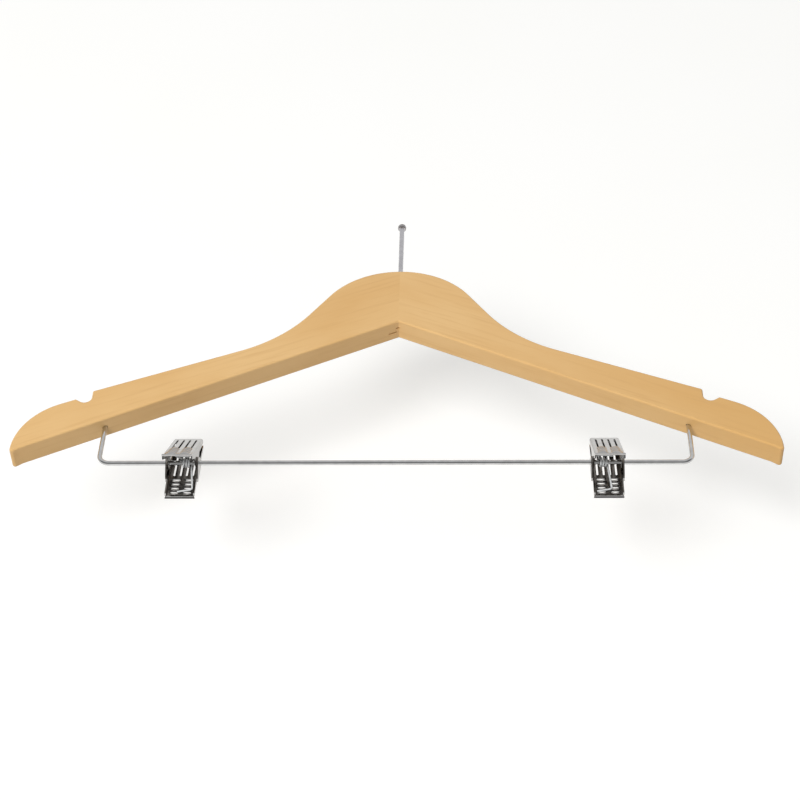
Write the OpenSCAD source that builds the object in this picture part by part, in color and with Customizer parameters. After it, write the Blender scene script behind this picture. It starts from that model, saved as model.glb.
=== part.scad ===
// Wooden trouser hanger with a ball-headed security pin, a wire trouser bar
// and two sprung metal clips that slide and turn on the bar.
// It hangs from the pin: X runs across the width, -Y is the front, +Z is up.
// The origin lies on the pin's axis at the underside of its ball head.

/* [Wooden arms] */
// Width over the two arm tips
hanger_w = 445; // [380:1:480]
// Thickness of the wood
wood_t = 14; // [11:0.5:18]
// Height of the wood on the centre line
head_h = 48.4; // [42:0.1:56]
// Radius of the domed head
dome_r = 52; // [46:1:60]
// Steepest slope of the head's flanks, in degrees
flank_deg = 56.3; // [50:0.1:62]
// Radius of the hollow curve between head and shoulder
neck_r = 90; // [60:1:100]
// Slope of the shoulders, in degrees
shoulder_deg = 22.7; // [20:0.1:25]
// Drop from the top of the dome to where the shoulder lines would cross
shoulder_drop = 34.6; // [32:0.1:37]
// Slope of the lower edges, in degrees
lower_deg = 26.8; // [26:0.1:28]
// Radius of the rounded arm ends
tip_r = 40.6; // [34:0.1:44]
// Height of the centre of the rounded ends above the lower edge
tip_rise = 2.8; // [2.4:0.1:5]
// Length of the turned-down toe at each arm end
toe_l = 6; // [4:0.5:10]
// Depth of the toe below the line of the lower edge
toe_h = 1.4; // [1:0.1:3]
// Radius of the corner under each arm end
toe_r = 1.7; // [1.2:0.1:1.7]
// Chamfer on the long edges of the wood
arris = 0.9; // [0.4:0.1:1]

/* [Strap notches] */
// Distance from the inner wall of a notch to the arm tip
notch_inset = 41.9; // [38:0.1:50]
// Depth of a notch below its inner corner
notch_h = 9.6; // [8:0.1:12]
// Width of a notch at its mouth
notch_w = 9.2; // [9:0.1:11]
// Radius at the bottom of a notch
notch_r = 4; // [2.5:0.1:4.1]
// Radius of the corners at a notch's mouth
notch_edge_r = 1.2; // [1.1:0.1:1.6]

/* [Centre joint] */
// Thickness of the tongue on the right arm
tongue_t = 3.8; // [3.4:0.1:5]
// Length of the tongue
tongue_l = 6.2; // [5:0.1:9]
// Width of the saw kerfs beside the tongue
kerf_w = 0.9; // [0.5:0.1:1.2]
// Length of the short kerf at the front
front_kerf_l = 2.4; // [1.5:0.1:4]
// Length of the long kerf at the back
back_kerf_l = 5; // [3:0.1:5]
// Height of the kerfs above the lower edge
kerf_h = 7; // [4:0.5:12]

/* [Security pin] */
// Diameter of the pin
pin_d = 3; // [2.5:0.1:3.2]
// Length of bare pin between the wood and the head
pin_l = 51; // [35:0.5:60]
// Diameter of the ball head
ball_d = 5.5; // [4.5:0.1:7]
// Depth of the pin in the wood
pin_depth = 24; // [16:1:32]
// Spacing of the barbs on the shank
barb_pitch = 2; // [1.5:0.1:3]
// Depth of the barbs
barb_h = 0.12; // [0.08:0.01:0.16]

/* [Trouser bar] */
// Diameter of the bar's wire
bar_d = 2.8; // [2.4:0.1:3.2]
// Distance between the centres of the bar's legs
bar_w = 341.6; // [300:0.1:360]
// Drop of the bar below the mouths of its holes
bar_drop = 29.4; // [24:0.1:40]
// Radius of the bar's bends, on its centre line
bar_bend_r = 6; // [4:0.5:10]
// Depth of each leg in the wood
leg_depth = 11.5; // [8:0.5:16]

/* [Clips] */
// Distance between the centres of the two clips
clip_spacing = 244; // [80:1:300]
// Width of a clip's plates
plate_w = 17.2; // [15:0.1:20]
// Thickness of the sheet steel
sheet_t = 0.8; // [0.6:0.05:1]
// Length from the pivot to the end of a handle
handle_l = 21.3; // [18:0.1:25]
// Length from the pivot to the end of a jaw
jaw_l = 26.3; // [22:0.1:30]
// Height of a plate's inner face above the pivot
plate_h = 8.2; // [7.6:0.1:9]
// Lean of each plate from the middle of the closed clip, in degrees
lean_deg = 12.3; // [11:0.1:13]
// Turn of the clips on the bar, in degrees
clip_turn = 21; // [0:1:45]
// Radius of the ears round the bar
ear_r = 3.6; // [3.2:0.1:4]
// Reach of the deep part of the side walls from the pivot
ear_reach = 9; // [8:0.1:9.5]
// Depth of the side walls' edge at the ends of the ears
ear_edge = 4.6; // [4.2:0.1:5]
// Depth of the side walls at the ends of a plate
wall_h = 2.1; // [1.6:0.1:2.3]
// Length of the turned-out lip at a handle's end
lip_l = 1.5; // [1:0.1:2.5]
// Angle of the turned-out lip, in degrees
lip_deg = 62; // [40:1:80]

/* [Grip pattern] */
// Rows of raised grips on a handle
grip_rows = 4; // [2:1:4]
// Distance between rows of grips
grip_pitch = 4; // [3.8:0.1:4.4]
// Distance from the last row's mouth to the handle's end
grip_inset = 5.2; // [5:0.1:6]
// Width of a grip
grip_w = 6; // [5:0.1:6.4]
// Height of a grip
grip_h = 1.1; // [0.7:0.05:1.3]
// Number of long slots in a jaw
slots = 4; // [2:1:4]
// Width of a long slot
slot_w = 1.1; // [0.8:0.1:1.4]
// Length of a long slot
slot_l = 23; // [16:0.5:24]

/* [Springs] */
// Diameter of the spring wire
spring_d = 1; // [0.8:0.05:1.1]
// Full turns of the coil
spring_turns = 3; // [2:1:4]
// Distance between neighbouring turns
spring_pitch = 1.5; // [1.5:0.05:1.8]
// Shift of the coil from the clip's middle, towards the hanger's middle
spring_shift = 2.4; // [0:0.1:3]
// Distance along the handle to the bend of a leg
spring_leg = 14.5; // [12:0.1:16]
// Half width of a leg's cross foot
spring_foot = 4.2; // [3:0.1:5]

/* [Fits] */
// Gap round the bar in the clips' ears
ear_gap = 0.08; // [0.02:0.01:0.1]
// Gap between the ears of the two plates
side_gap = 0.1; // [0.05:0.01:0.2]
// Gap between the closed jaws
jaw_gap = 0.3; // [0.2:0.05:0.4]
// Gap between the coil and the bar
coil_gap = 0.3; // [0.25:0.05:0.5]
// Gap between a spring's feet and the plates
foot_gap = 0.12; // [0.05:0.01:0.3]
// Gap round the pin and the bar in the wood
wood_gap = 0.03; // [0.01:0.01:0.1]

/* [Hidden] */
$fn = 64;
wood = [0.87, 0.72, 0.5];
steel = [0.78, 0.79, 0.8];
dark_steel = [0.5, 0.5, 0.52];
half_w = hanger_w / 2;
big = 2 * hanger_w;
over = 0.02;
dome_points = 16;
neck_points = 14;
notch_points = 8;
corner_points = 3;
tip_points = 18;

// Points of the right arm's outline, from the top of the dome
dome_c = [0, -dome_r];
flank_start = dome_c + dome_r * out(flank_deg);
flank_fall = (flank_start + [0, shoulder_drop]) * out(shoulder_deg);
flank_l = flank_fall / sin(flank_deg - shoulder_deg);
neck_t = neck_r * tan((flank_deg - shoulder_deg) / 2);
flank_end = flank_start + (flank_l - neck_t) * down(flank_deg);
neck_c = flank_end + neck_r * out(flank_deg);
shoulder_start = neck_c - neck_r * out(shoulder_deg);
notch_x = half_w - notch_inset;
notch_top = [notch_x, shoulder_z(notch_x)];
notch_c = notch_top + [notch_r, notch_r - notch_h];
tip_c = [half_w - tip_r, lower_z(half_w) + tip_rise];
cap_x = notch_x + notch_w;
cap_deg = shoulder_deg + 1.5;
cap_end = tip_c + tip_r * out(cap_deg);
cap_start = cap_end - (cap_end[0] - cap_x) / cos(cap_deg) * down(cap_deg);
toe_x = half_w - toe_l;
toe_start = [toe_x, lower_z(toe_x)];
toe_end = [half_w, lower_z(half_w) - toe_h];

notch_leave = notch_c + tangent_to(notch_r, cap_start - notch_c);
notch_end = atan2(notch_leave[1] - notch_c[1], notch_leave[0] - notch_c[0]);
outline = concat(
    arc(dome_c, dome_r, 90, 90 - flank_deg, dome_points),
    arc(neck_c, neck_r, 270 - flank_deg, 270 - shoulder_deg, neck_points),
    rounded(shoulder_start, notch_top, notch_top - [0, notch_h], notch_edge_r),
    arc(notch_c, notch_r, 180, 360 + notch_end, notch_points),
    rounded(notch_leave, cap_start, cap_end, notch_edge_r),
    arc(tip_c, tip_r, 90 - cap_deg, 0, tip_points),
    rounded([half_w, tip_c[1]], toe_end, toe_start, toe_r),
    [toe_start, [0, -head_h]]
);

// Places measured from the origin
dome_z = -pin_l;
apex_z = dome_z - head_h;
hole_x = bar_w / 2;
hole_z = dome_z + lower_z(hole_x);
bar_z = hole_z - bar_drop;
bar_r = bar_d / 2;
pin_r = pin_d / 2;

// Clip sizes
plate_top = plate_h + sheet_t;
half_plate = plate_w / 2;
ear_w = half_plate + side_gap + sheet_t;
wall_end = plate_top - wall_h - 0.1;
ear_tangent = tangent_to(ear_r, [ear_reach, ear_edge]);
jaw_tip = jaw_gap / 2 / cos(lean_deg);
grip_r = (grip_w * grip_w / 4 + grip_h * grip_h) / (2 * grip_h);
slot_pitch = (plate_w - 2 * sheet_t - slot_w) / slots;
slot_end = handle_l - grip_inset - (grip_rows - 1) * grip_pitch - 2.6;
coil_r = bar_r + coil_gap + spring_d / 2;
foot_n = plate_h - spring_d / 2 - foot_gap;
ring_sides = 6;
rings_a_turn = 8;

function out(a) = [sin(a), cos(a)];
function down(a) = [cos(a), -sin(a)];
function lower_z(x) = -head_h - x * tan(lower_deg);
function shoulder_z(x) = -shoulder_drop - x * tan(shoulder_deg);
function arc(c, r, from, to, n) =
    [for (i = [0 : n]) let (a = from + (to - from) * i / n) c + r * [cos(a), sin(a)]];
// Arc that rounds the corner q between p and s
function rounded(p, q, s, r) =
    let (
        u = unit(p - q),
        v = unit(s - q),
        half = acos(u * v) / 2,
        c = q + r / sin(half) * unit(u + v),
        start = q + r / tan(half) * u - c,
        from = atan2(start[1], start[0]),
        turn = (cross(u, v) > 0 ? -1 : 1) * (180 - 2 * half)
    )
    arc(c, r, from, from + turn, corner_points);
// Way inwards across the outline's edge from point i to the next
function inward(i) =
    let (d = outline[(i + 1) % len(outline)] - outline[i]) [d[1], -d[0]] / norm(d);
// A point of the outline moved in by the arris, or along the joint's face
function inset_point(i) =
    let (
        n1 = inward((i + len(outline) - 1) % len(outline)),
        n2 = inward(i)
    )
    i == 0 ? outline[0] + arris * [0, 1 / n2[1]]
    : i == len(outline) - 1 ? outline[i] + arris * [0, 1 / n1[1]]
    : outline[i] + arris * (n1 + n2) / (1 + n1 * n2);
// The lower of the two points where a line from p touches a circle of radius r
function tangent_to(r, p) =
    let (a = atan2(p[1], p[0]) - acos(r / norm(p)))
    [r * cos(a), r * sin(a)];

// Carries a shape drawn on X and Y along the X axis, w wide
module along_x(w) {
    rotate([90, 0, 90])
        linear_extrude(w, center = true) children();
}

// Right arm before it is joined, with the top of the dome at the origin
module arm_blank() {
    face = wood_t / 2;
    m = len(outline);
    inner = [for (i = [0 : m - 1]) inset_point(i)];
    wall = dome_points + neck_points + 2;
    dip = wall + corner_points + 1 + floor(0.4 * notch_points);
    // Each face is three fans, split at the notch, as seen from the lower edge
    fans = [
        concat([m - 1], [for (i = [0 : wall]) i]),
        concat([m - 1], [for (i = [wall : dip]) i], [m - 2]),
        concat([m - 2], [for (i = [dip : m - 3]) i])
    ];
    polyhedron(
        concat(
            [for (p = inner) [p[0], -face, p[1]]],
            [for (p = outline) [p[0], arris - face, p[1]]],
            [for (p = outline) [p[0], face - arris, p[1]]],
            [for (p = inner) [p[0], face, p[1]]]
        ),
        concat(
            fans,
            [for (k = [0 : 2], i = [0 : m - 1])
                [k * m + i, k * m + m + i, k * m + m + (i + 1) % m, k * m + (i + 1) % m]],
            [for (f = fans)
                concat([3 * m + f[0]], [for (i = [len(f) - 1 : -1 : 1]) 3 * m + f[i]])]
        )
    );
}

// Room of the tongue, left of the centre line
module tongue_room() {
    translate([-tongue_l, -tongue_t / 2, -2 * head_h])
        cube([tongue_l, tongue_t, 3 * head_h]);
}

// Open kerfs that show where the joint meets the lower edge
module kerfs() {
    low = -head_h - 5;
    high = kerf_h + 5;
    translate([-1.5, -tongue_t / 2, low])
        cube([front_kerf_l, kerf_w, high]);
    translate([-tongue_l, tongue_t / 2 - kerf_w, low])
        cube([back_kerf_l, kerf_w, high]);
}

// Blind hole for one leg of the bar, from below the wood
module leg_hole(x) {
    translate([x, 0, hole_z - wood_t])
        cylinder(r = bar_r + wood_gap, h = wood_t + leg_depth + 0.5);
}

module left_arm() {
    color(wood)
        difference() {
            translate([0, 0, dome_z])
                difference() {
                    mirror([1, 0, 0]) arm_blank();
                    tongue_room();
                    kerfs();
                }
            leg_hole(-hole_x);
        }
}

module right_arm() {
    color(wood)
        difference() {
            translate([0, 0, dome_z])
                difference() {
                    union() {
                        arm_blank();
                        intersection() {
                            mirror([1, 0, 0]) arm_blank();
                            tongue_room();
                        }
                    }
                    kerfs();
                }
            leg_hole(hole_x);
            translate([0, 0, dome_z - pin_depth - 0.5])
                cylinder(r = pin_r + barb_h + wood_gap, h = pin_depth + 5);
        }
}

// Ball-headed pin with a barbed shank in the wood
module security_pin() {
    ball_r = ball_d / 2;
    ball_sink = 1.6;
    barbs = floor((pin_depth - 4) / barb_pitch);
    color(steel) {
        intersection() {
            translate([0, 0, ball_sink]) sphere(ball_r);
            translate([0, 0, ball_r]) cube(ball_d, center = true);
        }
        translate([0, 0, -pin_l - 2]) cylinder(r = pin_r, h = pin_l + 2.5);
        translate([0, 0, dome_z - pin_depth])
            rotate_extrude()
                polygon(concat(
                    [[0, 0], [pin_r - 0.6, 0]],
                    [for (i = [0 : barbs - 1]) each [
                        [pin_r, 1 + i * barb_pitch],
                        [pin_r + barb_h, 1.8 + i * barb_pitch]
                    ]],
                    [[pin_r, 1 + barbs * barb_pitch], [pin_r, pin_depth - 1], [0, pin_depth - 1]]
                ));
    }
}

// One leg and bend of the bar, on the right
module bar_leg() {
    top = hole_z + leg_depth;
    translate([hole_x, 0, bar_z + bar_bend_r])
        cylinder(r = bar_r, h = top - bar_z - bar_bend_r);
    translate([hole_x - bar_bend_r, 0, bar_z + bar_bend_r])
        rotate([90, 0, 0])
            rotate_extrude(angle = 90, start = 270)
                translate([bar_bend_r, 0]) circle(bar_r, $fn = 48);
}

module trouser_bar() {
    color(steel) {
        bar_leg();
        mirror([1, 0, 0]) bar_leg();
        translate([0, 0, bar_z])
            rotate([0, 90, 0])
                cylinder(r = bar_r, h = bar_w - 2 * bar_bend_r, center = true);
    }
}

// Lengthwise section of a plate: X is the way to the handle, Y the way out
module plate_section() {
    bend_r = sheet_t / 2 + 0.3;
    bend_c = [handle_l - 1, plate_top + bend_r - sheet_t / 2];
    translate([-jaw_l, plate_h])
        square([jaw_l + bend_c[0], sheet_t]);
    translate(bend_c) {
        intersection() {
            difference() {
                circle(bend_r + sheet_t / 2);
                circle(bend_r - sheet_t / 2);
            }
            polygon([
                [-0.15, 0.1], [-0.15, -big], [big, -big], big * out(180 - lip_deg)
            ]);
        }
        rotate(lip_deg)
            translate([-0.15, -bend_r - sheet_t / 2]) square([lip_l, sheet_t]);
    }
    polygon([
        [-jaw_l, plate_h + sheet_t / 2], [-jaw_l + sheet_t, plate_h + sheet_t / 2],
        [-jaw_l + sheet_t, jaw_tip + (jaw_l - sheet_t) * tan(lean_deg)],
        [-jaw_l, jaw_tip + jaw_l * tan(lean_deg)]
    ]);
}

// Side wall of a plate, with the ear round the bar
module wall_face() {
    circle(ear_r);
    polygon([
        [-jaw_l, plate_top], [-jaw_l, wall_end], [-ear_reach, ear_edge],
        [-ear_tangent[0], ear_tangent[1]], ear_tangent, [ear_reach, ear_edge],
        [handle_l - 1.2, wall_end], [handle_l - 1.2, plate_top]
    ]);
}

// Half width of a plate at a distance s along it; shift widens the ears
function edge_path(shift) = [
    [-2 * jaw_l, half_plate], [-ear_reach - 1.6, half_plate],
    [-ear_reach - 0.4, half_plate + shift], [ear_reach + 0.4, half_plate + shift],
    [ear_reach + 1.6, half_plate], [2 * handle_l, half_plate]
];

// Outline of a plate seen from outside: X is the way to the handle
module plate_plan(shift) {
    path = edge_path(shift);
    polygon(concat(
        path,
        [for (i = [len(path) - 1 : -1 : 0]) [path[i][0], -path[i][1]]]
    ));
}

// Band along both edges of a plate where its side walls stand
module wall_band(shift) {
    difference() {
        plate_plan(shift);
        offset_plan(shift);
    }
}

module offset_plan(shift) {
    path = edge_path(shift);
    inner = [for (p = path) [p[0], p[1] - sheet_t]];
    polygon(concat(
        inner,
        [for (i = [len(inner) - 1 : -1 : 0]) [inner[i][0], -inner[i][1]]]
    ));
}

// Turns a plan drawn on X and Y to face out of the plate, d deep
module outward(d) {
    rotate([90, 0, 0])
        rotate([0, 0, -90])
            linear_extrude(d, center = true) children();
}

// Half balls that raise the grips, swollen by r
module grip_balls(r) {
    for (row = [0 : grip_rows - 1], side = [-1, 1]) {
        mouth = handle_l - grip_inset - row * grip_pitch;
        intersection() {
            translate([
                side * (grip_w / 2 + 0.75),
                -(plate_top + grip_h - grip_r), -mouth
            ])
                sphere(grip_r + r, $fn = 48);
            translate([side * half_plate / 2, -plate_h - 2.5 + over, -mouth - half_plate])
                cube([half_plate, 5, 2 * half_plate], center = true);
        }
    }
}

// Long slots through the jaw
module long_slots() {
    for (i = [0 : slots - 1]) {
        x = (i - (slots - 1) / 2) * slot_pitch;
        translate([slot_end - slot_l + slot_w / 2, x])
            circle(slot_w / 2, $fn = 24);
        translate([slot_end - slot_w / 2, x])
            circle(slot_w / 2, $fn = 24);
        translate([slot_end - slot_l + slot_w / 2, x - slot_w / 2])
            square([slot_l - slot_w, slot_w]);
    }
}

// A front plate with its jaw up; shift moves the ears outward
module plate(shift) {
    difference() {
        union() {
            intersection() {
                along_x(4 * half_plate) mirror([1, 1, 0]) plate_section();
                outward(big) plate_plan(shift);
            }
            intersection() {
                along_x(4 * half_plate) mirror([1, 1, 0]) wall_face();
                outward(big) wall_band(shift);
            }
            grip_balls(0);
        }
        grip_balls(-0.45);
        translate([0, -plate_h, 0])
            outward(4 * sheet_t) long_slots();
        rotate([0, 90, 0])
            cylinder(r = bar_r + ear_gap, h = big, center = true, $fn = 48);
    }
}

// Puts a clip drawn about the bar at its place, turned on the bar
module at_clip(side) {
    translate([side * clip_spacing / 2, 0, bar_z])
        rotate([-clip_turn, 0, 0]) children();
}

module front_plate(side) {
    color(steel) at_clip(side) rotate([-lean_deg, 0, 0]) plate(0);
}

module back_plate(side) {
    color(dark_steel)
        at_clip(side)
            mirror([0, 1, 0])
                rotate([-lean_deg, 0, 0]) plate(side_gap + sheet_t);
}

// Route of a spring, in X, the way to the handle and the way to the front
foot_at = [spring_leg, foot_n];
leg_d = norm(foot_at);
leg_deg = lean_deg + atan2(foot_n, spring_leg);
leave_deg = leg_deg + acos(coil_r / leg_d);
wound_deg = 360 * (spring_turns + 1) - 2 * leave_deg;
coil_l = spring_pitch * wound_deg / 360;
coil_rings = round(rings_a_turn * wound_deg / 360);

function plate_point(x, s, n) = [
    x, s * cos(lean_deg) - n * sin(lean_deg), s * sin(lean_deg) + n * cos(lean_deg)
];
function mirrored(p) = [for (i = [len(p) - 1 : -1 : 0]) [-p[i][0], p[i][1], -p[i][2]]];
front_leg = [
    plate_point(spring_foot, spring_leg + 3, foot_n),
    plate_point(-spring_foot + 1.2, spring_leg + 1.2, foot_n),
    plate_point(-spring_foot + 0.35, spring_leg + 0.75, foot_n),
    plate_point(-spring_foot, spring_leg, foot_n - 0.2)
];
coil_points = [
    for (i = [0 : coil_rings])
        let (a = leave_deg + wound_deg * i / coil_rings)
        [coil_l * (i / coil_rings - 0.5), coil_r * cos(a), coil_r * sin(a)]
];
spring_route = concat(front_leg, coil_points, mirrored(front_leg));

function unit(v) = v / norm(v);
function tangent_at(p, i) =
    unit(p[min(i + 1, len(p) - 1)] - p[max(i - 1, 0)]);
// Carries a side direction along the route without twisting it
function carried(p, n0) = [
    for (
        i = 0, n = n0;
        i < len(p);
        i = i + 1,
        n = i < len(p)
            ? let (t = tangent_at(p, i)) unit(n - (n * t) * t)
            : n
    ) n
];
function tube_points(p, r, k) =
    let (sides = carried(p, unit(cross(tangent_at(p, 0), [0.3, 1, 0.2]))))
    [
        for (i = [0 : len(p) - 1])
            let (t = tangent_at(p, i), b = cross(t, sides[i]))
            for (j = [0 : k - 1])
                p[i] + r * (cos(360 * j / k) * sides[i] + sin(360 * j / k) * b)
    ];
function tube_faces(m, k) = concat(
    [for (j = [1 : k - 2]) [0, j, j + 1]],
    [for (i = [0 : m - 2], j = [0 : k - 1]) each [
        [i * k + j, i * k + k + j, i * k + (j + 1) % k],
        [i * k + (j + 1) % k, i * k + k + j, i * k + k + (j + 1) % k]
    ]],
    [for (j = [1 : k - 2]) let (e = (m - 1) * k) [e, e + j + 1, e + j]]
);
// Least gap between stretches of a route that lie half a turn or more apart
function least_gap(p, d) = min([
    for (i = [0 : len(p) - 1], j = [0 : len(p) - 1])
        if (j - i > rings_a_turn / 2) norm(p[i] - p[j]) - d
]);

module spring(side) {
    route = [for (p = spring_route) [p[0] - side * spring_shift, -p[2], -p[1]]];
    echo(spring_least_gap = least_gap(route, spring_d));
    color(steel)
        at_clip(side)
            polyhedron(
                tube_points(route, spring_d / 2, ring_sides),
                tube_faces(len(route), ring_sides)
            );
}

module left_clip_front_plate() { front_plate(-1); }
module left_clip_back_plate() { back_plate(-1); }
module left_clip_spring() { spring(-1); }
module right_clip_front_plate() { front_plate(1); }
module right_clip_back_plate() { back_plate(1); }
module right_clip_spring() { spring(1); }

left_arm();
right_arm();
security_pin();
trouser_bar();
left_clip_front_plate();
left_clip_back_plate();
left_clip_spring();
right_clip_front_plate();
right_clip_back_plate();
right_clip_spring();
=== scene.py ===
import math

import bmesh
import bpy
from mathutils import Matrix, Vector


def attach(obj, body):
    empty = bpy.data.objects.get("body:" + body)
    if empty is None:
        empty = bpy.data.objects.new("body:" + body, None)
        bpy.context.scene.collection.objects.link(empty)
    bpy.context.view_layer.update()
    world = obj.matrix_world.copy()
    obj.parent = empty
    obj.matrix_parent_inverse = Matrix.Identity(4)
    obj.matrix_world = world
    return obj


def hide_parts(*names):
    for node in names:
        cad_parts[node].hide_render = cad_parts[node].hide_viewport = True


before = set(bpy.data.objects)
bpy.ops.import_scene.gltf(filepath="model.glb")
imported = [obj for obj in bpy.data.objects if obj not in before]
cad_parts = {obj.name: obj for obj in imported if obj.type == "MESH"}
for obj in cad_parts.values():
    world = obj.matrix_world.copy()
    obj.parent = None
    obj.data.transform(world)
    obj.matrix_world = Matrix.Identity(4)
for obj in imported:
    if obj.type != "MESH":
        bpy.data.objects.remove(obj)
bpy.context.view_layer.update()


# Sizes are named in millimetres and turns in degrees
mm = 0.001


def deselect():
    bpy.ops.object.select_all(action="DESELECT")


def pick(obj):
    deselect()
    obj.select_set(True)
    bpy.context.view_layer.objects.active = obj


def editMesh(obj):
    return bmesh.from_edit_mesh(obj.data)


# Draws a chain of edges through the points by extruding one vertex
def drawChain(name, points, closed=False):
    deselect()
    bpy.ops.mesh.primitive_plane_add(size=mm, location=(0, 0, 0))
    obj = bpy.context.object
    obj.name = name
    bpy.ops.object.mode_set(mode="EDIT")
    bpy.ops.mesh.select_mode(type="VERT")
    bpy.ops.mesh.select_all(action="SELECT")
    bpy.ops.mesh.merge(type="CENTER")
    bpy.ops.transform.translate(value=points[0])
    for here, there in zip(points, points[1:]):
        step = Vector(there) - Vector(here)
        bpy.ops.mesh.extrude_region_move(TRANSFORM_OT_translate={"value": step})
    if closed:
        bpy.ops.mesh.select_all(action="SELECT")
        bpy.ops.mesh.edge_face_add()
    bpy.ops.object.mode_set(mode="OBJECT")
    return obj


# Draws a flat outline and pulls it into a solid
def drawSlab(name, points, depth):
    obj = drawChain(name, points, closed=True)
    pick(obj)
    bpy.ops.object.mode_set(mode="EDIT")
    bpy.ops.mesh.select_all(action="SELECT")
    bpy.ops.mesh.extrude_region_move(TRANSFORM_OT_translate={"value": depth})
    bpy.ops.mesh.select_all(action="SELECT")
    bpy.ops.mesh.normals_make_consistent(inside=False)
    bpy.ops.object.mode_set(mode="OBJECT")
    return obj


def selectEdges(obj, test):
    bpy.ops.mesh.select_all(action="DESELECT")
    bpy.ops.mesh.select_mode(type="EDGE")
    mesh = editMesh(obj)
    for edge in mesh.edges:
        edge.select_set(test(edge.verts[0].co, edge.verts[1].co))
    bmesh.update_edit_mesh(obj.data)


def bevelEdges(obj, width, segments, test):
    pick(obj)
    bpy.ops.object.mode_set(mode="EDIT")
    selectEdges(obj, test)
    bpy.ops.mesh.bevel(offset=width, segments=segments, affect="EDGES")
    bpy.ops.object.mode_set(mode="OBJECT")


def applyAll(obj):
    pick(obj)
    for modifier in list(obj.modifiers):
        bpy.ops.object.modifier_apply(modifier=modifier.name)


def combine(obj, tool, operation, keep=False):
    modifier = obj.modifiers.new("combine", "BOOLEAN")
    modifier.operation = operation
    modifier.solver = "EXACT"
    modifier.object = tool
    applyAll(obj)
    if not keep:
        bpy.data.objects.remove(tool, do_unlink=True)


def joinAll(objs):
    pick(objs[0])
    for obj in objs[1:]:
        obj.select_set(True)
    bpy.ops.object.join()
    return bpy.context.object


def block(name, low, high):
    deselect()
    middle = [(a + b) / 2 for a, b in zip(low, high)]
    bpy.ops.mesh.primitive_cube_add(size=1, location=middle)
    obj = bpy.context.object
    obj.name = name
    obj.scale = [b - a for a, b in zip(low, high)]
    bpy.ops.object.transform_apply(location=True, rotation=True, scale=True)
    return obj


def rod(name, radius, depth, location, turn=(0, 0, 0), sides=32):
    deselect()
    bpy.ops.mesh.primitive_cylinder_add(
        vertices=sides, radius=radius, depth=depth, location=location, rotation=turn
    )
    obj = bpy.context.object
    obj.name = name
    bpy.ops.object.transform_apply(location=True, rotation=True, scale=True)
    return obj


# A round wire through the points
def drawWire(name, points, radius, ring):
    deselect()
    bpy.ops.curve.primitive_bezier_curve_add()
    obj = bpy.context.object
    obj.name = name
    curve = obj.data
    curve.splines.clear()
    spline = curve.splines.new("POLY")
    spline.points.add(len(points) - 1)
    for point, place in zip(spline.points, points):
        point.co = (*place, 1)
    curve.dimensions = "3D"
    curve.bevel_depth = radius
    curve.bevel_resolution = ring
    curve.use_fill_caps = True
    pick(obj)
    bpy.ops.object.convert(target="MESH")
    obj = bpy.context.object
    obj.name = name
    bpy.ops.object.shade_smooth_by_angle(angle=math.radians(50))
    return obj


def duplicate(obj, name):
    copy = obj.copy()
    copy.data = obj.data.copy()
    copy.name = name
    bpy.context.scene.collection.objects.link(copy)
    return copy


def placeBy(obj, matrix):
    obj.matrix_world = matrix
    pick(obj)
    bpy.ops.object.transform_apply(location=True, rotation=True, scale=True)
    if matrix.determinant() < 0:
        bpy.ops.object.mode_set(mode="EDIT")
        bpy.ops.mesh.select_all(action="SELECT")
        bpy.ops.mesh.normals_make_consistent(inside=False)
        bpy.ops.object.mode_set(mode="OBJECT")


def evenShading(obj, angle=32):
    pick(obj)
    bpy.ops.object.shade_smooth_by_angle(angle=math.radians(angle))
    modifier = obj.modifiers.new("even", "WEIGHTED_NORMAL")
    modifier.keep_sharp = True
    modifier.weight = 80
    applyAll(obj)


def arcPoints(centre, radius, start, end, count):
    turns = [math.radians(start + (end - start) * i / count) for i in range(count + 1)]
    return [
        (centre[0] + radius * math.cos(t), centre[1] + radius * math.sin(t))
        for t in turns
    ]


def newGroup(name, outputs):
    group = bpy.data.node_groups.new(name, "ShaderNodeTree")
    group.interface.new_socket("Vector", in_out="INPUT", socket_type="NodeSocketVector")
    for output in outputs:
        group.interface.new_socket(output, in_out="OUTPUT", socket_type="NodeSocketFloat")
    start = group.nodes.new("NodeGroupInput")
    end = group.nodes.new("NodeGroupOutput")
    return group, start, end


def noiseNode(tree, vector, scale, detail=3, rough=0.5):
    node = tree.nodes.new("ShaderNodeTexNoise")
    node.inputs["Scale"].default_value = scale
    node.inputs["Detail"].default_value = detail
    node.inputs["Roughness"].default_value = rough
    tree.links.new(vector, node.inputs["Vector"])
    return node.outputs["Fac"]


def rangeNode(tree, value, low, high, outLow, outHigh):
    node = tree.nodes.new("ShaderNodeMapRange")
    for socket, amount in zip(
        ("From Min", "From Max", "To Min", "To Max"), (low, high, outLow, outHigh)
    ):
        node.inputs[socket].default_value = amount
    tree.links.new(value, node.inputs["Value"])
    return node.outputs["Result"]


def mathNode(tree, operation, first, second):
    node = tree.nodes.new("ShaderNodeMath")
    node.operation = operation
    for socket, value in zip(node.inputs, (first, second)):
        if isinstance(value, (int, float)):
            socket.default_value = value
        else:
            tree.links.new(value, socket)
    return node.outputs["Value"]


def stretchNode(tree, vector, scale, turn=0.0):
    node = tree.nodes.new("ShaderNodeMapping")
    node.inputs["Scale"].default_value = scale
    node.inputs["Rotation"].default_value = (0, turn, 0)
    tree.links.new(vector, node.inputs["Vector"])
    return node.outputs["Vector"]


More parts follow.
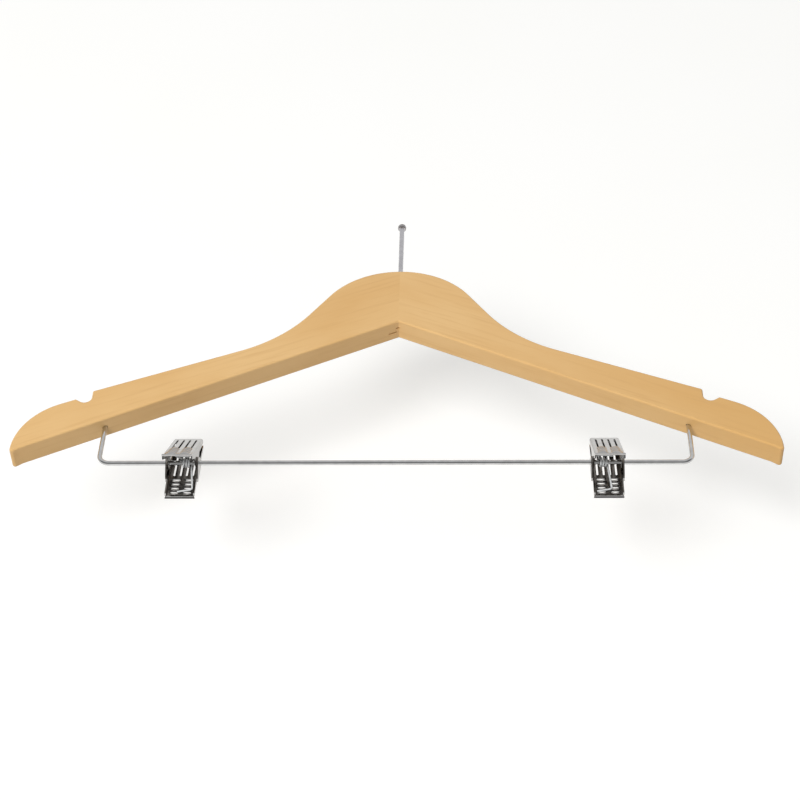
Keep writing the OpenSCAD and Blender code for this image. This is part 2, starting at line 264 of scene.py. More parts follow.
# Long pale and dark streaks, fine pores and slow drifts of tone
def grainGroup():
    group, start, end = newGroup("woodGrain", ["Tone", "Streak", "Pores"])
    vector = start.outputs["Vector"]
    tone = noiseNode(group, stretchNode(group, vector, (9, 30, 26)), 1.0, 4, 0.55)
    streak = noiseNode(group, stretchNode(group, vector, (18, 420, 360)), 1.0, 5, 0.6)
    pores = noiseNode(group, stretchNode(group, vector, (160, 2600, 2600)), 1.0, 2, 0.5)
    group.links.new(tone, end.inputs["Tone"])
    group.links.new(streak, end.inputs["Streak"])
    group.links.new(pores, end.inputs["Pores"])
    return group


# Cloudy smears and fine scratches of handled metal
def smearGroup():
    group, start, end = newGroup("metalSmears", ["Smear", "Scratch"])
    vector = start.outputs["Vector"]
    group.links.new(noiseNode(group, vector, 220, 4, 0.6), end.inputs["Smear"])
    fine = stretchNode(group, vector, (900, 5200, 5200))
    group.links.new(noiseNode(group, fine, 1.0, 2, 0.5), end.inputs["Scratch"])
    return group


groups = {"grain": grainGroup(), "smear": smearGroup()}


def newMaterial(name):
    material = bpy.data.materials.new(name)
    material.use_nodes = True
    tree = material.node_tree
    shader = tree.nodes["Principled BSDF"]
    place = tree.nodes.new("ShaderNodeTexCoord")
    return material, tree, shader, place.outputs["Object"]


def mixColour(tree, factor, first, second):
    node = tree.nodes.new("ShaderNodeMix")
    node.data_type = "RGBA"
    tree.links.new(factor, node.inputs["Factor"])
    for socket, value in zip((node.inputs[6], node.inputs[7]), (first, second)):
        if isinstance(value, tuple):
            socket.default_value = (*value, 1)
        else:
            tree.links.new(value, socket)
    return node.outputs[2]


wood = {
    "pale": (0.80, 0.515, 0.225),
    "honey": (0.73, 0.435, 0.165),
    "streak": (0.64, 0.37, 0.14),
    # Darker, redder wood towards the tips, much more on the right arm: painted shade
    "tip": (0.69, 0.385, 0.115),
    "tipShadeAmount": {-1: 0.1, 1: 0.6},
    "tipFrom": 0.1,
    "tipTo": 0.21,
    "armTurn": 24.7,
    "roughLow": 0.36,
    "roughHigh": 0.5,
    "coat": 0.18,
    "coatRough": 0.22,
    "bump": 0.12,
}


def makeWood(name, side):
    material, tree, shader, place = newMaterial(name)
    along = stretchNode(tree, place, (1, 1, 1), -side * math.radians(wood["armTurn"]))
    grain = tree.nodes.new("ShaderNodeGroup")
    grain.node_tree = groups["grain"]
    tree.links.new(along, grain.inputs["Vector"])
    drift = rangeNode(tree, grain.outputs["Tone"], 0.35, 0.68, 0, 1)
    streak = rangeNode(tree, grain.outputs["Streak"], 0.52, 0.75, 0, 0.5)
    base = mixColour(tree, drift, wood["pale"], wood["honey"])
    split = tree.nodes.new("ShaderNodeSeparateXYZ")
    tree.links.new(place, split.inputs["Vector"])
    reach = mathNode(tree, "ABSOLUTE", split.outputs["X"], 0.0)
    # Painted shade: the colour darkens towards each tip, more on the right arm
    tipShadeMask = rangeNode(
        tree, reach, wood["tipFrom"], wood["tipTo"], 0, wood["tipShadeAmount"][side]
    )
    tipShaded = mixColour(tree, tipShadeMask, base, wood["tip"])
    colour = mixColour(tree, streak, tipShaded, wood["streak"])
    tree.links.new(colour, shader.inputs["Base Color"])
    rough = rangeNode(
        tree, grain.outputs["Streak"], 0.3, 0.7, wood["roughLow"], wood["roughHigh"]
    )
    tree.links.new(rough, shader.inputs["Roughness"])
    shader.inputs["Coat Weight"].default_value = wood["coat"]
    shader.inputs["Coat Roughness"].default_value = wood["coatRough"]
    bump = tree.nodes.new("ShaderNodeBump")
    bump.inputs["Strength"].default_value = wood["bump"]
    bump.inputs["Distance"].default_value = 0.00012
    height = mathNode(tree, "ADD", grain.outputs["Streak"], grain.outputs["Pores"])
    tree.links.new(height, bump.inputs["Height"])
    tree.links.new(bump.outputs["Normal"], shader.inputs["Normal"])
    return material


# A colour, the least and most roughness, the scratches' depth and how metallic it is
metals = {
    "pinSteel": ((0.73, 0.72, 0.75), 0.2, 0.32, 0.04, 1.0),
    # The ball's steel is darker than the shank's: painted dark reflection of the room it
    # mirrors
    "ballShadedSteel": ((0.5, 0.48, 0.48), 0.03, 0.07, 0.01, 1.0),
    "barSteel": ((0.76, 0.76, 0.76), 0.08, 0.16, 0.04, 1.0),
    "clipSteel": ((0.62, 0.61, 0.6), 0.07, 0.16, 0.04, 1.0),
    # Darker metal for the clip's inner faces: painted shade in the channel's recess
    "clipInsideShade": ((0.27, 0.25, 0.23), 0.14, 0.26, 0.04, 1.0),
    # Spring steel: its near-white, faintly blue colour is partly the steel's own pale
    # grey and partly a painted bright reflection
    "springSteel": ((0.97, 0.99, 1.0), 0.1, 0.2, 0.02, 0.3),
}


def makeMetal(name):
    colour, roughLow, roughHigh, scratch, metallic = metals[name]
    material, tree, shader, place = newMaterial(name)
    smear = tree.nodes.new("ShaderNodeGroup")
    smear.node_tree = groups["smear"]
    tree.links.new(place, smear.inputs["Vector"])
    shader.inputs["Metallic"].default_value = metallic
    darker = tuple(c * 0.82 for c in colour)
    tone = rangeNode(tree, smear.outputs["Smear"], 0.3, 0.7, 0, 1)
    tree.links.new(mixColour(tree, tone, colour, darker), shader.inputs["Base Color"])
    rough = rangeNode(tree, smear.outputs["Smear"], 0.35, 0.75, roughLow, roughHigh)
    tree.links.new(rough, shader.inputs["Roughness"])
    bump = tree.nodes.new("ShaderNodeBump")
    bump.inputs["Strength"].default_value = scratch
    bump.inputs["Distance"].default_value = 0.00004
    tree.links.new(smear.outputs["Scratch"], bump.inputs["Height"])
    tree.links.new(bump.outputs["Normal"], shader.inputs["Normal"])
    return material


materials = {name: makeMetal(name) for name in metals}
materials["leftWood"] = makeWood("leftWood", -1)
materials["rightWood"] = makeWood("rightWood", 1)


def dress(obj, material):
    obj.data.materials.clear()
    obj.data.materials.append(materials[material])


arm = {
    "halfWidth": 222.5,
    "thick": 14.0,
    "headHigh": 48.4,
    "domeRadius": 52.0,
    "flankTurn": 56.3,
    "neckRadius": 90.0,
    "shoulderTurn": 22.7,
    "shoulderDrop": 34.6,
    "lowerTurn": 26.8,
    "tipRadius": 40.6,
    "tipRise": 2.8,
    "toeLong": 6.0,
    "toeHigh": 1.4,
    "toeRadius": 1.7,
    "notchInset": 41.9,
    "notchHigh": 9.6,
    "notchWide": 9.2,
    "notchRadius": 4.0,
    "notchEdge": 1.2,
    "edgeRound": 1.15,
    "topZ": -51.0,
    "tongueThick": 3.8,
    "tongueLong": 6.2,
    "kerfWide": 0.9,
    "kerfHigh": 7.0,
    "legX": 170.8,
    "legDeep": 12.5,
    "legHole": 1.55,
    "pinHole": 1.6,
    "pinDeep": 25.0,
}


# Arc that rounds the corner between two others
def roundCorner(before, corner, after, radius, count=5):
    before, corner, after = Vector(before), Vector(corner), Vector(after)
    one = (before - corner).normalized()
    two = (after - corner).normalized()
    half = one.angle(two) / 2
    centre = corner + (one + two).normalized() * radius / math.sin(half)
    start = corner + one * radius / math.tan(half) - centre
    first = math.degrees(math.atan2(start.y, start.x))
    turn = 180 - 2 * math.degrees(half)
    if one.x * two.y - one.y * two.x > 0:
        turn = -turn
    return arcPoints(centre, radius, first, first + turn, count)


def armOutline():
    a = arm
    flank, shoulder, lower = (
        math.radians(a[k]) for k in ("flankTurn", "shoulderTurn", "lowerTurn")
    )

    def out(t):
        return Vector((math.sin(t), math.cos(t)))

    def down(t):
        return Vector((math.cos(t), -math.sin(t)))

    def lowerZ(x):
        return -a["headHigh"] - x * math.tan(lower)

    dome = Vector((0, -a["domeRadius"]))
    flankStart = dome + a["domeRadius"] * out(flank)
    fall = (flankStart + Vector((0, a["shoulderDrop"]))).dot(out(shoulder))
    flankLong = fall / math.sin(flank - shoulder)
    neckTangent = a["neckRadius"] * math.tan((flank - shoulder) / 2)
    flankEnd = flankStart + (flankLong - neckTangent) * down(flank)
    neck = flankEnd + a["neckRadius"] * out(flank)
    notchX = a["halfWidth"] - a["notchInset"]
    notchTop = Vector((notchX, -a["shoulderDrop"] - notchX * math.tan(shoulder)))
    r = a["notchRadius"]
    notch = notchTop + Vector((r, r - a["notchHigh"]))
    end = a["halfWidth"]
    tip = Vector((end - a["tipRadius"], lowerZ(end) + a["tipRise"]))
    cap = shoulder + math.radians(1.5)
    capEnd = tip + a["tipRadius"] * out(cap)
    capX = notchX + a["notchWide"]
    capStart = capEnd - (capEnd.x - capX) / math.cos(cap) * down(cap)
    toe = (end - a["toeLong"], lowerZ(end - a["toeLong"]))
    toeEnd = (end, lowerZ(end) - a["toeHigh"])
    reach = capStart - notch
    leave = math.atan2(reach.y, reach.x) - math.acos(r / reach.length)
    notchLeave = notch + r * Vector((math.cos(leave), math.sin(leave)))
    shoulderStart = (0, -a["shoulderDrop"])
    points = arcPoints(dome, a["domeRadius"], 90, 90 - a["flankTurn"], 28)
    points += arcPoints(
        neck, a["neckRadius"], 270 - a["flankTurn"], 270 - a["shoulderTurn"], 18
    )
    wallEnd = notchTop - Vector((0, a["notchHigh"]))
    points += roundCorner(shoulderStart, notchTop, wallEnd, a["notchEdge"])
    points += arcPoints(notch, r, 180, 360 + math.degrees(leave), 12)
    points += roundCorner(notchLeave, capStart, capEnd, a["notchEdge"])
    points += arcPoints(tip, a["tipRadius"], 90 - math.degrees(cap), 0, 26)
    points += roundCorner((end, tip.y), toeEnd, toe, a["toeRadius"])
    points += [toe, (0, -a["headHigh"])]
    return points


def makeArm(name, side):
    half = arm["thick"] / 2 * mm
    points = [
        (side * x * mm, -half, (z + arm["topZ"]) * mm) for x, z in armOutline()
    ]
    obj = drawSlab(name, points, (0, 2 * half, 0))

    def rim(p, q):
        sameFace = abs(p.y - q.y) < 1e-6
        onJoint = abs(p.x) < 1e-6 and abs(q.x) < 1e-6
        return sameFace and not onJoint

    bevelEdges(obj, arm["edgeRound"] * mm, 4, rim)
    return obj


def makeArms():
    left = makeArm("leftArmWood", -1)
    right = makeArm("rightArmWood", 1)
    low = (arm["topZ"] - arm["headHigh"]) * mm
    t = arm["tongueThick"] / 2 * mm
    long = arm["tongueLong"] * mm
    kerf = arm["kerfWide"] * mm
    top = low + arm["kerfHigh"] * mm
    tongue = duplicate(left, "tongue")
    room = block("room", (-long, -t, low - 20 * mm), (0.1 * mm, t, low + 60 * mm))
    combine(tongue, room, "INTERSECT", keep=True)
    combine(left, room, "DIFFERENCE")
    combine(right, tongue, "UNION")
    kerfs = [
        block("kerf", (-1.5 * mm, -t, low - 10 * mm), (kerf, -t + kerf, top)),
        block("kerf", (-long, t - kerf, low - 10 * mm), (-1.2 * mm, t, top)),
    ]
    cutter = joinAll(kerfs)
    for obj in (left, right):
        combine(obj, cutter, "DIFFERENCE", keep=True)
    bpy.data.objects.remove(cutter, do_unlink=True)
    slope = math.tan(math.radians(arm["lowerTurn"]))
    mouth = low - arm["legX"] * slope * mm
    drill = 30 * mm
    for obj, side in ((left, -1), (right, 1)):
        place = (side * arm["legX"] * mm, 0, mouth + arm["legDeep"] * mm - drill / 2)
        hole = rod("hole", arm["legHole"] * mm, drill, place)
        combine(obj, hole, "DIFFERENCE")
    drill = 60 * mm
    place = (0, 0, (arm["topZ"] - arm["pinDeep"]) * mm + drill / 2)
    hole = rod("hole", arm["pinHole"] * mm, drill, place)
    combine(left, hole, "DIFFERENCE", keep=True)
    combine(right, hole, "DIFFERENCE")
    for obj, node, material in (
        (left, "left_arm", "leftWood"),
        (right, "right_arm", "rightWood"),
    ):
        evenShading(obj)
        dress(obj, material)
        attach(obj, "hanger")
        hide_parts(node)


makeArms()
print("arms made")


pin = {
    "radius": 1.5,
    "ball": 2.75,
    "sink": 1.6,
    "long": 51.0,
    "deep": 24.0,
    "pointRound": 1.0,
}


def makePin():
    ball, r = pin["ball"], pin["radius"]
    flat = math.sqrt(ball**2 - pin["sink"] ** 2)
    start = -math.degrees(math.asin(pin["sink"] / ball)) + 5
    bottom = -pin["long"] - pin["deep"]
    profile = [(0.0, bottom), (r - pin["pointRound"] / 2, bottom)]
    profile += [(r, bottom + pin["pointRound"])]
    profile += [(r, -pin["long"]), (r, -0.25), (r + 0.08, -0.07), (r + 0.25, 0.0)]
    profile += [(flat - 0.2, 0.0)]
    profile += arcPoints((0, pin["sink"]), ball, start, 90, 18)
    chain = drawChain("securityPin", [(x * mm, 0, z * mm) for x, z in profile])
    pick(chain)
    bpy.ops.object.mode_set(mode="EDIT")
    bpy.ops.mesh.select_all(action="SELECT")
    bpy.ops.mesh.spin(
        steps=40, angle=2 * math.pi, center=(0, 0, 0), axis=(0, 0, 1), dupli=False
    )
    bpy.ops.mesh.select_all(action="SELECT")
    bpy.ops.mesh.remove_doubles(threshold=0.000002)
    bpy.ops.mesh.normals_make_consistent(inside=False)
    bpy.ops.object.mode_set(mode="OBJECT")
    bpy.ops.object.shade_smooth_by_angle(angle=math.radians(40))
    dress(chain, "pinSteel")
    # The ball above the shank takes the darker steel, a painted dark reflection
    chain.data.materials.append(materials["ballShadedSteel"])
    for face in chain.data.polygons:
        face.material_index = int(face.center.z > 0)
    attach(chain, "hanger")
    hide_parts("security_pin")


makePin()
print("pin made")


bar = {"radius": 1.4, "z": -215.079, "bend": 6.0, "top": -174.3}


def makeBar():
    x, z, r = arm["legX"], bar["z"], bar["bend"]
    path = [(-x, bar["top"])]
    path += arcPoints((-x + r, z + r), r, 180, 270, 12)
    path += arcPoints((x - r, z + r), r, 270, 360, 12)
    path += [(x, bar["top"])]
    wire = drawWire(
        "trouserBar", [(a * mm, 0, b * mm) for a, b in path], bar["radius"] * mm, 5
    )
    dress(wire, "barSteel")
    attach(wire, "hanger")
    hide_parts("trouser_bar")


makeBar()
print("bar made")


clip = {
    "x": 122.0,
    "turn": 21.0,
    "lean": 12.3,
    "handle": 21.3,
    "jaw": 26.3,
    "inner": 8.2,
    "sheet": 0.8,
    "wide": 17.2,
    "jawGap": 0.3,
    "cornerRound": 0.7,
    "earRadius": 3.6,
    "earReach": 9.0,
    "earEdge": 4.6,
    "wallHigh": 2.1,
    "sideGap": 0.1,
    "lipStart": 1.0,
    "lipLong": 0.6,
    "lipTurn": 62.0,
    "lipRound": 0.3,
    "lipFlare": (1.06, 1.05, 1.025, 1, 1),
    "rows": 4,
    "rowPitch": 4.0,
    "rowInset": 5.2,
    "gripWide": 6.0,
    "gripHigh": 1.1,
    "gripSheet": 0.45,
    "gripGap": 1.5,
    "gripRoom": 3.65,
    "slots": 4,
    "slotWide": 1.1,
    "slotLong": 23.0,
    "slotGap": 2.6,
    "boreGap": 0.08,
}


def clipMatrix(side):
    place = Matrix.Translation((side * clip["x"] * mm, 0, bar["z"] * mm))
    return place @ Matrix.Rotation(math.radians(-clip["turn"]), 4, "X")


spring = {
    "wire": 1.15,
    "turns": 3,
    "pitch": 1.5,
    "shift": 2.4,
    "leg": 14.5,
    "foot": 4.2,
    "coilGap": 0.3,
    "footGap": 0.12,
    "stepTurn": 12,
    "overlap": 8,
}


def springRoute():
    s = spring
    lean = math.radians(clip["lean"])
    footHigh = clip["inner"] - s["wire"] / 2 - s["footGap"]
    radius = bar["radius"] + s["coilGap"] + s["wire"] / 2
    distance = math.hypot(s["leg"], footHigh)
    legTurn = lean + math.atan2(footHigh, s["leg"])
    leave = legTurn + math.acos(radius / distance)
    wound = 2 * math.pi * (s["turns"] + 1) - 2 * leave
    long = s["pitch"] * wound / (2 * math.pi)

    def onPlate(x, along, high):
        return (
            x,
            along * math.cos(lean) - high * math.sin(lean),
            along * math.sin(lean) + high * math.cos(lean),
        )

    # The foot lies on the plate, then a tight bend leads into the leg
    leg = [
        onPlate(s["foot"], s["leg"] + 3, footHigh),
        onPlate(-s["foot"] + 1.3, s["leg"] + 1.25, footHigh),
        onPlate(-s["foot"] + 0.75, s["leg"] + 1.0, footHigh),
        onPlate(-s["foot"] + 0.35, s["leg"] + 0.65, footHigh - 0.04),
        onPlate(-s["foot"] + 0.1, s["leg"] + 0.2, footHigh - 0.1),
        onPlate(-s["foot"], s["leg"] - 0.4, footHigh - 0.3),
    ]
    count = int(wound / math.radians(s["stepTurn"]))
    coil = []
    for i in range(count + 1):
        t = leave + wound * i / count
        coil.append(
            (long * (i / count - 0.5), radius * math.cos(t), radius * math.sin(t))
        )
    other = [(-x, along, -high) for x, along, high in reversed(leg)]
    return leg, coil, other


def makeSpring(side, name):
    leg, coil, other = springRoute()
    shift = side * spring["shift"]
    halves = {
        "front": leg + coil[: spring["overlap"]],
        "back": coil + other,
    }
    for half, route in halves.items():
        points = [((x - shift) * mm, -high * mm, -along * mm) for x, along, high in route]
        wireName = name + "Spring" + half.title()
        wire = drawWire(wireName, points, spring["wire"] / 2 * mm, 4)
        placeBy(wire, clipMatrix(side))
        dress(wire, "springSteel")
        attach(wire, name + "_clip_" + half)
        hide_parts(name + "_clip_spring")


for side, name in ((-1, "left"), (1, "right")):
    makeSpring(side, name)
print("springs made")


# Sets the two ends of a fold line true at the place (y, z)
def trueFold(obj, y, z):
    pick(obj)
    bpy.ops.object.mode_set(mode="EDIT")
    bpy.ops.mesh.select_mode(type="VERT")
    bpy.ops.mesh.select_all(action="DESELECT")
    flat = (clip["wide"] - clip["sheet"]) / 2 - clip["cornerRound"] + 0.08
    ends = []
    for vert in editMesh(obj).verts:
        away = math.hypot(vert.co.y - y, vert.co.z - z)
        if away < 0.25 * mm and abs(vert.co.x) < flat * mm:
            vert.select_set(True)
            ends.append(vert.co.copy())
    bmesh.update_edit_mesh(obj.data)
    bpy.ops.transform.translate(value=(0, y - ends[0].y, z - ends[0].z))
    bpy.ops.object.mode_set(mode="OBJECT")


# A channel of sheet with rounded corners, a turned-in jaw and a turned-out lip
def makeChannel():
    c = clip
    mid = c["sheet"] / 2
    edge = c["wide"] / 2 - mid
    high = c["inner"] + mid
    r = c["cornerRound"]
    across = [(-edge, 1.0)]
    across += arcPoints((-edge + r, high - r), r, 180, 90, 4)
    across += arcPoints((edge - r, high - r), r, 90, 0, 4)
    across += [(edge, 1.0)]
    jawEnd = -c["jaw"] + mid
    obj = drawChain("plate", [(x * mm, -n * mm, -jawEnd * mm) for x, n in across])
    pick(obj)
    bpy.ops.object.mode_set(mode="EDIT")
    bpy.ops.mesh.select_all(action="SELECT")
    bend = c["lipRound"] + mid
    straightEnd = c["handle"] - c["lipStart"]
    step = (0, 0, -(straightEnd - jawEnd) * mm)
    bpy.ops.mesh.extrude_region_move(TRANSFORM_OT_translate={"value": step})

    def onTop(z):
        return lambda p, q: all(
            abs(v.z - z) < 1e-6 and abs(v.y + high * mm) < 1e-6 for v in (p, q)
        )

    selectEdges(obj, onTop(-straightEnd * mm))
    lip = arcPoints((straightEnd, high + bend), bend, -90, -90 + c["lipTurn"], 4)
    turn = math.radians(c["lipTurn"])
    last = lip[-1]
    lip.append(
        (
            last[0] + c["lipLong"] * math.cos(turn),
            last[1] + c["lipLong"] * math.sin(turn),
        )
    )
    for (s0, n0), (s1, n1), flare in zip(lip, lip[1:], c["lipFlare"]):
        bpy.ops.mesh.extrude_region_move(
            TRANSFORM_OT_translate={"value": (0, -(n1 - n0) * mm, -(s1 - s0) * mm)}
        )
        bpy.ops.transform.resize(value=(flare, 1, 1))
    selectEdges(obj, onTop(-jawEnd * mm))
    jawLow = c["jawGap"] / 2 / math.cos(math.radians(c["lean"]))
    jawLow += (c["jaw"] - c["sheet"]) * math.tan(math.radians(c["lean"]))
    bpy.ops.mesh.extrude_region_move(
        TRANSFORM_OT_translate={"value": (0, (high - jawLow) * mm, 0)}
    )
    bpy.ops.mesh.select_all(action="SELECT")
    bpy.ops.mesh.normals_make_consistent(inside=False)
    bpy.ops.object.mode_set(mode="OBJECT")
    solid = obj.modifiers.new("sheet", "SOLIDIFY")
    solid.thickness = c["sheet"] * mm
    solid.offset = 0
    solid.use_even_offset = True
    applyAll(obj)
    outside = -(c["inner"] + c["sheet"]) * mm
    inside = -c["inner"] * mm
    trueFold(obj, outside, c["jaw"] * mm)
    trueFold(obj, inside, (c["jaw"] - c["sheet"]) * mm)
    trueFold(obj, outside, -straightEnd * mm)
    trueFold(obj, inside, -straightEnd * mm)
    return obj


# Side profile of the ears, and all that lies below the walls
def earOutline():
    c = clip
    r, reach, edge = c["earRadius"], c["earReach"], c["earEdge"]
    base = math.atan2(edge, reach) - math.acos(r / math.hypot(reach, edge))
    turn = math.degrees(base)
    points = [(reach, edge + 2.2), (reach, edge)]
    points += arcPoints((0, 0), r, turn, -180 - turn, 24)
    points += [(-reach, edge), (-reach, edge + 2.2)]
    return points


def sidePrism(name, outline, xLow, xHigh):
    points = [(xLow * mm, -n * mm, -s * mm) for s, n in outline]
    return drawSlab(name, points, ((xHigh - xLow) * mm, 0, 0))


# Cuts the channel's side walls down to their low height
def trimWalls(obj, top):
    c = clip
    wallEnd = top - c["wallHigh"] - 0.1
    wide = c["wide"] / 2 + 1
    below = [
        (-c["jaw"] - 2, wallEnd),
        (-c["earReach"], c["earEdge"]),
        (c["earReach"], c["earEdge"]),
        (c["handle"] + 2, wallEnd),
        (c["handle"] + 2, -3),
        (-c["jaw"] - 2, -3),
    ]
    inner = c["wide"] / 2 - c["sheet"] - 0.3
    left = sidePrism("below", below, -wide, -inner)
    right = sidePrism("below", below, inner, wide)
    combine(obj, joinAll([left, right]), "DIFFERENCE")
    bpy.context.view_layer.update()


# Ears in line with the walls, or stepped out by the shift to close over the other plate's
def addEars(obj, shift):
    c = clip
    outer = c["wide"] / 2 + shift
    reach = c["earReach"]
    ears = []
    for sign in (-1, 1):
        low, high = sorted((sign * outer, sign * (outer - c["sheet"])))
        ears.append(sidePrism("ear", earOutline(), low, high))
        if shift:
            low, high = sorted((sign * outer, sign * (c["wide"] / 2 - 0.5)))
            ears.append(
                block(
                    "joggle",
                    (low * mm, -(c["earEdge"] + 2.2) * mm, -reach * mm),
                    (high * mm, -(c["earEdge"] + 1.2) * mm, reach * mm),
                )
            )
    for ear in ears:
        combine(obj, ear, "UNION")


# Half of a ball on the handle's side of a grip's mouth, cut off level with the sheet
def gripHalf(x, centre, radius, mouth, past, low):
    c = clip
    deselect()
    bpy.ops.mesh.primitive_uv_sphere_add(
        segments=40,
        ring_count=21,
        radius=radius * mm,
        location=(x * mm, -centre * mm, -mouth * mm),
    )
    ball = bpy.context.object
    bpy.ops.object.transform_apply(location=True)
    top = c["inner"] + c["sheet"]
    half = block(
        "half",
        ((x - c["gripRoom"]) * mm, -(top + 3) * mm, -(mouth + 8) * mm),
        ((x + c["gripRoom"]) * mm, -low * mm, (past - mouth) * mm),
    )
    combine(ball, half, "INTERSECT")
    return ball


# Adds the raised grips and returns what hollows them out
def addGrips(obj, top):
    c = clip
    radius = (c["gripWide"] ** 2 / 4 + c["gripHigh"] ** 2) / (2 * c["gripHigh"])
    centre = top + c["gripHigh"] - radius
    balls, cutters = [], []
    for row in range(c["rows"]):
        mouth = c["handle"] - c["rowInset"] - row * c["rowPitch"]
        for sign in (-1, 1):
            x = sign * (c["gripWide"] + c["gripGap"]) / 2
            balls.append(gripHalf(x, centre, radius, mouth, 0, c["inner"] + 0.15))
            # Deeper and a little past the mouth, so that no two faces lie level
            hollow = radius - c["gripSheet"]
            cutters.append(gripHalf(x, centre, hollow, mouth, 0.05, c["inner"] - 0.6))
    for ball in balls:
        combine(obj, ball, "UNION")
    return cutters


def slotTools():
    c = clip
    pitch = (c["wide"] - 2 * c["sheet"] - c["slotWide"]) / c["slots"]
    lastRow = c["handle"] - c["rowInset"] - (c["rows"] - 1) * c["rowPitch"]
    slotEnd = lastRow - c["slotGap"]
    w = c["slotWide"] / 2
    tools = []
    for i in range(c["slots"]):
        x = (i - (c["slots"] - 1) / 2) * pitch
        outline = arcPoints((x, w - slotEnd), w, -180, 0, 8)
        outline += arcPoints((x, c["slotLong"] - w - slotEnd), w, 0, 180, 8)
        points = [(a * mm, -(c["inner"] - 1) * mm, b * mm) for a, b in outline]
        tools.append(drawSlab("slot", points, (0, -3 * mm, 0)))
    return tools


def makePlate(name, shift):
    obj = makeChannel()
    obj.name = name
    top = clip["inner"] + clip["sheet"]
    trimWalls(obj, top)
    addEars(obj, shift)
    cutters = addGrips(obj, top) + slotTools()
    bore = (bar["radius"] + clip["boreGap"]) * mm
    cutters.append(rod("bore", bore, 30 * mm, (0, 0, 0), (0, math.pi / 2, 0), 40))
    for cutter in cutters:
        combine(obj, cutter, "DIFFERENCE")
    pick(obj)
    bpy.ops.object.mode_set(mode="EDIT")
    bpy.ops.mesh.select_all(action="SELECT")
    bpy.ops.mesh.remove_doubles(threshold=0.000004)
    bpy.ops.object.mode_set(mode="OBJECT")
    return obj


# The inner faces of a plate get a darker metal, painted shade for the channel's recess;
# the plate stands in its own frame here
def dressShadedInside(obj):
    # Painted shade: faces under the top and on the inner walls take the darker metal
    c = clip
    obj.data.materials.append(materials["clipInsideShade"])
    for face in obj.data.polygons:
        across, towards = face.normal.x, face.normal.y
        x, n = face.center.x / mm, -face.center.y / mm
        under = towards > 0.3 and n < c["inner"] + 0.3
        wall = abs(x) < c["wide"] / 2 - c["sheet"] + 0.1 and across * x < 0
        atLip = -face.center.z / mm > c["handle"] - c["lipStart"] - 0.4
        inside = under or (wall and n < c["inner"] + 0.1)
        face.material_index = int(inside and not atLip)


def makePlates():
    shift = clip["sideGap"] + clip["sheet"]
    models = {"front": makePlate("frontPlate", 0), "back": makePlate("backPlate", shift)}
    lean = Matrix.Rotation(math.radians(-clip["lean"]), 4, "X")
    flip = Matrix.Scale(-1, 4, (0, 1, 0))
    for side, name in ((-1, "left"), (1, "right")):
        for half, model in models.items():
            plate = duplicate(model, name + half.title() + "Plate")
            dress(plate, "clipSteel")
            dressShadedInside(plate)
            local = lean if half == "front" else flip @ lean
            placeBy(plate, clipMatrix(side) @ local)
            evenShading(plate, 28)
            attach(plate, name + "_clip_" + half)
            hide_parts(name + "_clip_" + half + "_plate")
    for model in models.values():
        bpy.data.objects.remove(model, do_unlink=True)


makePlates()
print("plates made")


studio = {
    "white": (1.0, 1.0, 0.985),
    "roomColour": (1, 0.99, 0.97),
    "roomLight": 0.36,
    "darkRoom": 0.17,
    "ceiling": 0.6,
    "ceilingFades": (-0.92, -0.72),
    "farWall": 0.8,
    "farWallRises": (-0.1, 0.25),
    "horizon": 0.6,
    "horizonRises": (-0.4, -0.15),
    "middleZ": -0.13,
    "backdropY": 0.09,
    "tableGrey": 0.5,
    "tableGlow": 0.55,
    "tableMirror": 0.35,
    "keyPower": 101.0,
    "keySize": 2.0,
    "keyFrom": (-0.38, -0.8, -0.46),
    "keyDistance": 3.5,
    "cameraPlace": (0.0394, -0.7735, -0.9819),
    "cameraTurn": (136.621, -1.245, 1.438),
    "lens": 85.4,
}


# Grey paint that glows for the camera and for what mirrors it, clear from behind
def tableMaterial():
    material = bpy.data.materials.new("paleTable")
    material.use_nodes = True
    tree = material.node_tree
    tree.nodes.remove(tree.nodes["Principled BSDF"])
    paint = tree.nodes.new("ShaderNodeBsdfDiffuse")
    place = tree.nodes.new("ShaderNodeTexCoord")
    cloud = noiseNode(tree, place.outputs["Object"], 4.0, 2)
    tint = rangeNode(tree, cloud, 0.3, 0.7, 0, 1)
    grey = studio["tableGrey"]
    colour = mixColour(tree, tint, (grey, grey, grey * 0.98), (grey * 1.02,) * 3)
    tree.links.new(colour, paint.inputs["Color"])
    glow = tree.nodes.new("ShaderNodeEmission")
    glow.inputs["Color"].default_value = (*studio["white"], 1)
    path = tree.nodes.new("ShaderNodeLightPath").outputs
    seen = mathNode(tree, "MULTIPLY", path["Is Camera Ray"], studio["tableGlow"])
    mirrored = mathNode(tree, "MULTIPLY", path["Is Glossy Ray"], studio["tableMirror"])
    tree.links.new(mathNode(tree, "ADD", seen, mirrored), glow.inputs["Strength"])
    lit = tree.nodes.new("ShaderNodeAddShader")
    tree.links.new(paint.outputs["BSDF"], lit.inputs[0])
    tree.links.new(glow.outputs["Emission"], lit.inputs[1])
    clear = tree.nodes.new("ShaderNodeBsdfTransparent")
    sides = tree.nodes.new("ShaderNodeMixShader")
    geometry = tree.nodes.new("ShaderNodeNewGeometry")
    tree.links.new(geometry.outputs["Backfacing"], sides.inputs["Fac"])
    tree.links.new(lit.outputs["Shader"], sides.inputs[1])
    tree.links.new(clear.outputs["BSDF"], sides.inputs[2])
    surface = tree.nodes["Material Output"].inputs["Surface"]
    tree.links.new(sides.outputs["Shader"], surface)
    return material


def makeBackdrop():
    deselect()
    place = (0, studio["backdropY"], studio["middleZ"])
    bpy.ops.mesh.primitive_plane_add(size=6, location=place, rotation=(math.pi / 2, 0, 0))
    obj = bpy.context.object
    obj.name = "backdrop"
    bpy.ops.object.transform_apply(location=True, rotation=True, scale=True)
    obj.data.materials.append(tableMaterial())


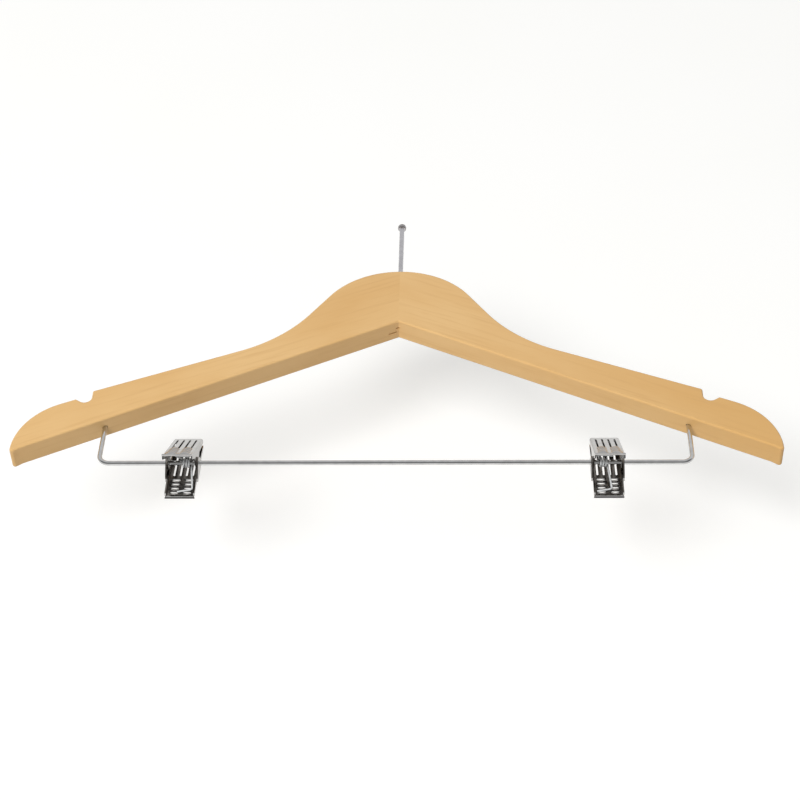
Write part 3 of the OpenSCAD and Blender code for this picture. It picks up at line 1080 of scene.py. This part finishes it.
def makeWorld():
    world = bpy.data.worlds.new("studio")
    bpy.context.scene.world = world
    world.use_nodes = True
    tree = world.node_tree
    base = tree.nodes["Background"]
    base.inputs["Color"].default_value = (*studio["roomColour"], 1)
    base.inputs["Strength"].default_value = studio["roomLight"]
    # What metal mirrors: a pale ceiling, far wall and horizon, and a dark room in front
    mirror = tree.nodes.new("ShaderNodeBackground")
    place = tree.nodes.new("ShaderNodeTexCoord")
    split = tree.nodes.new("ShaderNodeSeparateXYZ")
    tree.links.new(place.outputs["Generated"], split.inputs["Vector"])
    across, up = split.outputs["Y"], split.outputs["Z"]
    dark = studio["darkRoom"]
    ceiling = rangeNode(tree, across, *studio["ceilingFades"], studio["ceiling"], dark)
    wall = rangeNode(tree, up, *studio["farWallRises"], dark, studio["farWall"])
    horizon = rangeNode(tree, across, *studio["horizonRises"], dark, studio["horizon"])
    level = mathNode(tree, "MAXIMUM", mathNode(tree, "MAXIMUM", ceiling, wall), horizon)
    tree.links.new(level, mirror.inputs["Strength"])
    seen = tree.nodes.new("ShaderNodeBackground")
    seen.inputs["Color"].default_value = (*studio["white"], 1)
    lightPath = tree.nodes.new("ShaderNodeLightPath")
    first = tree.nodes.new("ShaderNodeMixShader")
    tree.links.new(lightPath.outputs["Is Glossy Ray"], first.inputs["Fac"])
    tree.links.new(base.outputs["Background"], first.inputs[1])
    tree.links.new(mirror.outputs["Background"], first.inputs[2])
    second = tree.nodes.new("ShaderNodeMixShader")
    tree.links.new(lightPath.outputs["Is Camera Ray"], second.inputs["Fac"])
    tree.links.new(first.outputs["Shader"], second.inputs[1])
    tree.links.new(seen.outputs["Background"], second.inputs[2])
    tree.links.new(second.outputs["Shader"], tree.nodes["World Output"].inputs["Surface"])


# A soft lamp, which polished metal doesn't mirror
def makeLamp(name, direction, distance, size, power):
    centre = Vector((0, 0, studio["middleZ"]))
    towards = Vector(direction).normalized()
    light = bpy.data.lights.new(name, "AREA")
    light.shape = "DISK"
    light.size = size
    light.energy = power
    lamp = bpy.data.objects.new(name, light)
    bpy.context.scene.collection.objects.link(lamp)
    lamp.location = centre + towards * distance
    lamp.rotation_mode = "QUATERNION"
    lamp.rotation_quaternion = towards.to_track_quat("Z", "Y")
    lamp.visible_glossy = False


def makeCamera():
    data = bpy.data.cameras.new("camera")
    data.lens = studio["lens"]
    data.sensor_width = 36
    data.clip_start = 0.01
    camera = bpy.data.objects.new("camera", data)
    bpy.context.scene.collection.objects.link(camera)
    camera.location = studio["cameraPlace"]
    camera.rotation_euler = [math.radians(turn) for turn in studio["cameraTurn"]]
    bpy.context.scene.camera = camera


makeBackdrop()
makeWorld()
makeLamp(
    "key", studio["keyFrom"], studio["keyDistance"], studio["keySize"], studio["keyPower"]
)
makeCamera()
bpy.context.scene.view_settings.view_transform = "Standard"
print("stage made")
